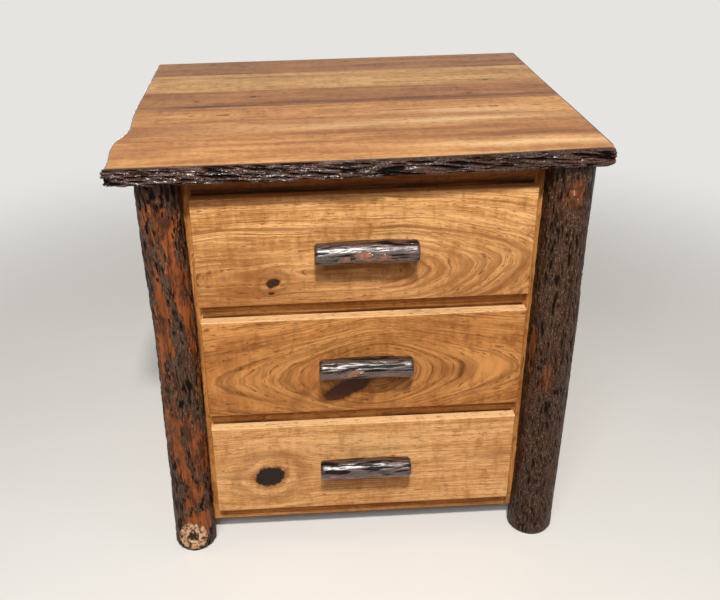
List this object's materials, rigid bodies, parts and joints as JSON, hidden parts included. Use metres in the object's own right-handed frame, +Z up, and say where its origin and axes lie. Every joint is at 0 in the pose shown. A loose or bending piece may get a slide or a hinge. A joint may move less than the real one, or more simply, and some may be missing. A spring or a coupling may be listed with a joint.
{
  "type": "rustic table with drawers",
  "caption": "Low rustic table with natural bark edges on its top, bark-on log legs, a case of drawers and bark-on branch pulls.",
  "frame": {"origin": "bottom centre of the whole table, on the floor, with the drawers shut", "axes": "+Z up, drawers open towards -Y, +X to the right as seen from the front"},
  "size_m": [0.7001, 0.5815, 0.711],
  "materials": {
    "top_hickory": "satin clear finish",
    "edge_bark": "glossy bark",
    "leg_bark": "satin bark",
    "front_hickory": "satin clear finish",
    "case_hickory": "satin clear finish",
    "branch_bark": "glossy bark",
    "box_wood": "plain sanded wood",
    "post_wood": "satin clear finish",
    "steel_screw": "zinc plated"
  },
  "bodies": {
    "cabinet": {"top_board_1": "top_hickory", "top_board_2": "top_hickory", "top_board_3": "top_hickory", "top_board_4": "top_hickory", "top_board_5": "top_hickory", "top_board_6": "top_hickory", "front_bark_edge": "edge_bark", "left_bark_edge": "edge_bark", "right_bark_edge": "edge_bark", "front_left_leg": "leg_bark", "front_right_leg": "leg_bark", "rear_left_leg": "leg_bark", "rear_right_leg": "leg_bark", "left_side_panel": "case_hickory", "right_side_panel": "case_hickory", "back_panel": "case_hickory", "bottom_front_rail": "case_hickory", "lower_front_rail": "case_hickory", "upper_front_rail": "case_hickory", "top_front_rail": "case_hickory", "bottom_rear_rail": "case_hickory", "top_rear_rail": "case_hickory", "lower_drawer_runners": "case_hickory", "middle_drawer_runners": "case_hickory", "upper_drawer_runners": "case_hickory", "left_top_cleat": "case_hickory", "right_top_cleat": "case_hickory", "drawer_stops": "case_hickory", "leg_screws": "steel_screw", "top_screws": "steel_screw", "stop_screws": "steel_screw"},
    "lower_drawer": {"lower_drawer_front": "front_hickory", "lower_drawer_box_front": "box_wood", "lower_drawer_left_side": "box_wood", "lower_drawer_right_side": "box_wood", "lower_drawer_back": "box_wood", "lower_drawer_bottom": "box_wood", "lower_drawer_screws": "steel_screw", "lower_pull": "branch_bark", "lower_pull_posts": "post_wood"},
    "middle_drawer": {"middle_drawer_front": "front_hickory", "middle_drawer_box_front": "box_wood", "middle_drawer_left_side": "box_wood", "middle_drawer_right_side": "box_wood", "middle_drawer_back": "box_wood", "middle_drawer_bottom": "box_wood", "middle_drawer_screws": "steel_screw", "middle_pull": "branch_bark", "middle_pull_posts": "post_wood"},
    "upper_drawer": {"upper_drawer_front": "front_hickory", "upper_drawer_box_front": "box_wood", "upper_drawer_left_side": "box_wood", "upper_drawer_right_side": "box_wood", "upper_drawer_back": "box_wood", "upper_drawer_bottom": "box_wood", "upper_drawer_screws": "steel_screw", "upper_pull": "branch_bark", "upper_pull_posts": "post_wood"}
  },
  "joints": [
    {"name": "lower_drawer_slide", "type": "slide", "parent": "cabinet", "child": "lower_drawer", "axis": [0, -1, 0], "range_m": [0, 0.377]},
    {"name": "middle_drawer_slide", "type": "slide", "parent": "cabinet", "child": "middle_drawer", "axis": [0, -1, 0], "range_m": [0, 0.377]},
    {"name": "upper_drawer_slide", "type": "slide", "parent": "cabinet", "child": "upper_drawer", "axis": [0, -1, 0], "range_m": [0, 0.377]}
  ]
}
